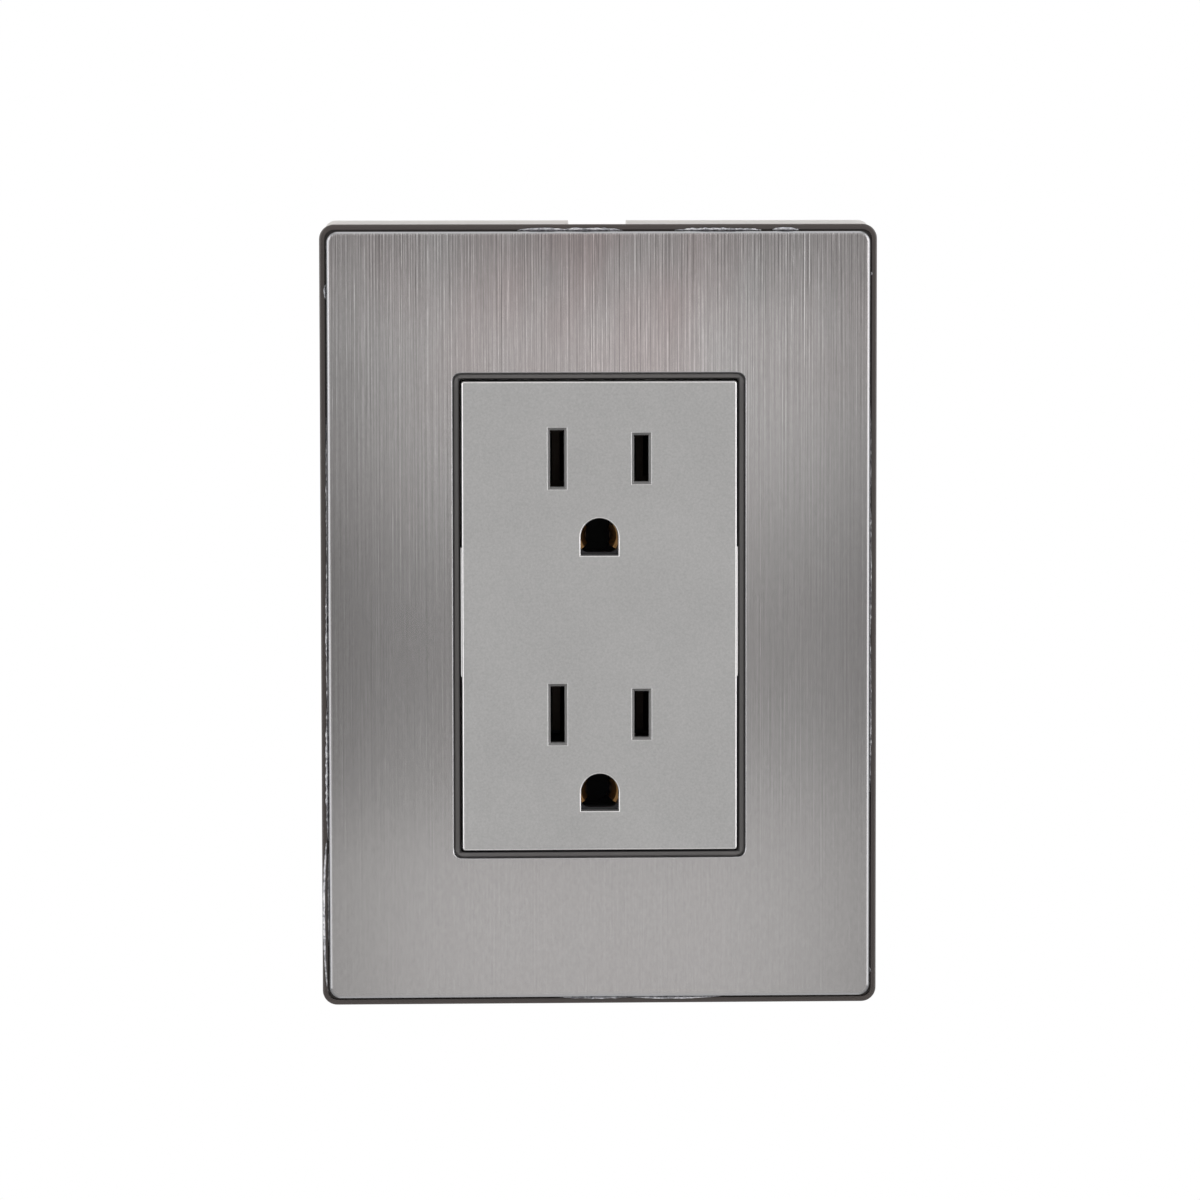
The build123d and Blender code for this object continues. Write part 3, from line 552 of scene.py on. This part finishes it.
def add_film():
    """Thin crumpled ribbons that stand in the groove and curl out over the lip."""
    mesh = bmesh.new()
    rng = random.Random(FILM_SEED)
    for ribbon in FILM:
        add_ribbon(mesh, rng, *ribbon)
    film = new_piece("film_remnants", mesh)
    for face in film.data.polygons:
        face.use_smooth = True
    solid = film.modifiers.new("thickness", "SOLIDIFY")
    solid.thickness = FILM_THICK * MM
    solid.offset = 0.0
    return film


# The film's colour, from grey to the painted highlights on its creases.
FILM_GLINT_COLOURS = ((0.40, (0.36, 0.36, 0.38)), (0.53, (0.75, 0.75, 0.78)), (0.62, (1.0, 1.0, 1.0)))


def clear_film():
    """Clear plastic film, with painted highlights where it is creased."""
    made, g, shader = material("clear_film")
    crease_and_glint = g.noise(g.place((1.6, 1.6, 1.6)), detail=3.0, roughness=0.6, distortion=0.6)
    g.set(shader.inputs["Base Color"], g.ramp(crease_and_glint, FILM_GLINT_COLOURS))
    g.set(shader.inputs["Roughness"], g.map_range(crease_and_glint, 0.4, 0.6, 0.22, 0.45))
    shader.inputs["Alpha"].default_value = 0.62
    shader.inputs["Specular IOR Level"].default_value = 0.6
    g.set(shader.inputs["Normal"], g.bump(crease_and_glint, 0.25, 0.08))
    return made


film = add_film()
film.data.materials.append(clear_film())
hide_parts("protective_film_edge")
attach(film, "cover")


# ------------------------------------------------------------------ screw threads

THREAD_PITCH, THREAD_DEPTH = 0.794, 0.28
THREAD_SIDES, THREAD_RINGS = 28, 9  # round the shank, and in each turn
THREAD_RUN_OUT = 0.8  # turns, near the head
THREAD_TIP, TIP_CHAMFER = 0.7, 0.45  # turns, and how much thinner the shank's end is
CREST_FLAT = 1.25  # cuts the ridge's top off at 1 / 1.25 of its height
# Where the thread starts, nearest the head, and its tip, both along Y, and its outer radius.
BOX_SCREW, TERMINAL_SCREW, EARTH_SCREW = (0.2, 16.8, 1.75), (10.9, 3.1, 1.45), (14.1, 6.3, 1.45)


def cut_shank(node, cut_y, direction):
    """A copy of a CAD screw's mesh that ends at cut_y, with the cut closed."""
    mesh = bmesh.new()
    mesh.from_mesh(NODES[node].data)
    bmesh.ops.remove_doubles(mesh, verts=mesh.verts, dist=0.001 * MM)
    everything = mesh.verts[:] + mesh.edges[:] + mesh.faces[:]
    cut = bmesh.ops.bisect_plane(mesh, geom=everything, plane_co=(0, cut_y * MM, 0),
                                 plane_no=(0, direction, 0), clear_outer=True)
    rim = [edge for edge in cut["geom_cut"] if isinstance(edge, bmesh.types.BMEdge)]
    bmesh.ops.edgeloop_fill(mesh, edges=rim)
    return mesh


def add_thread(mesh, axis_x, axis_z, start_y, end_y, radius):
    """Adds a closed rod with a right-handed thread to a mesh."""
    direction = 1 if end_y > start_y else -1
    turns = abs(end_y - start_y) / THREAD_PITCH
    count = int(turns * THREAD_RINGS)
    rings = []
    for i in range(count + 1):
        along = turns * i / count
        # The thread runs out near the head, and the tip is chamfered.
        cut_share = min(1.0, along / THREAD_RUN_OUT)
        chamfer = TIP_CHAMFER * (1 - min(1.0, (turns - along) / THREAD_TIP))
        ring = []
        for j in range(THREAD_SIDES):
            turn = j / THREAD_SIDES
            # A plus before direction makes the thread right-handed.
            ridge = 1 - abs(2 * ((along + direction * turn) % 1.0) - 1)
            depth = THREAD_DEPTH * (1 - cut_share * min(1.0, CREST_FLAT * ridge))
            reach = (radius - depth) - chamfer
            angle = 2 * math.pi * turn
            ring.append(mesh.verts.new((axis_x + reach * MM * math.cos(angle),
                                        (start_y + direction * along * THREAD_PITCH) * MM,
                                        axis_z + reach * MM * math.sin(angle))))
        rings.append(ring)
    for first, second in zip(rings, rings[1:]):
        for j in range(THREAD_SIDES):
            k = (j + 1) % THREAD_SIDES
            mesh.faces.new((first[j], first[k], second[k], second[j]))
    mesh.faces.new(rings[0])
    mesh.faces.new(rings[-1])


def threaded_screw(node, start_y, end_y, radius):
    """The CAD screw's own head and neck, with a rolled thread in place of its plain shank."""
    low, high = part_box(node)
    direction = 1 if end_y > start_y else -1
    mesh = cut_shank(node, start_y + direction * THREAD_PITCH, direction)
    add_thread(mesh, (low.x + high.x) / 2, (low.z + high.z) / 2, start_y, end_y, radius)
    screw = new_piece(node + "_threaded", mesh)
    screw.data.materials.clear()
    screw.data.materials.append(NODES[node].data.materials[0])
    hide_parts(node)
    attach(screw, node)


for node in ("upper_box_screw", "lower_box_screw"):
    threaded_screw(node, *BOX_SCREW)
for node in ("hot_upper_screw", "hot_lower_screw", "neutral_upper_screw", "neutral_lower_screw"):
    threaded_screw(node, *TERMINAL_SCREW)
threaded_screw("earth_screw", *EARTH_SCREW)
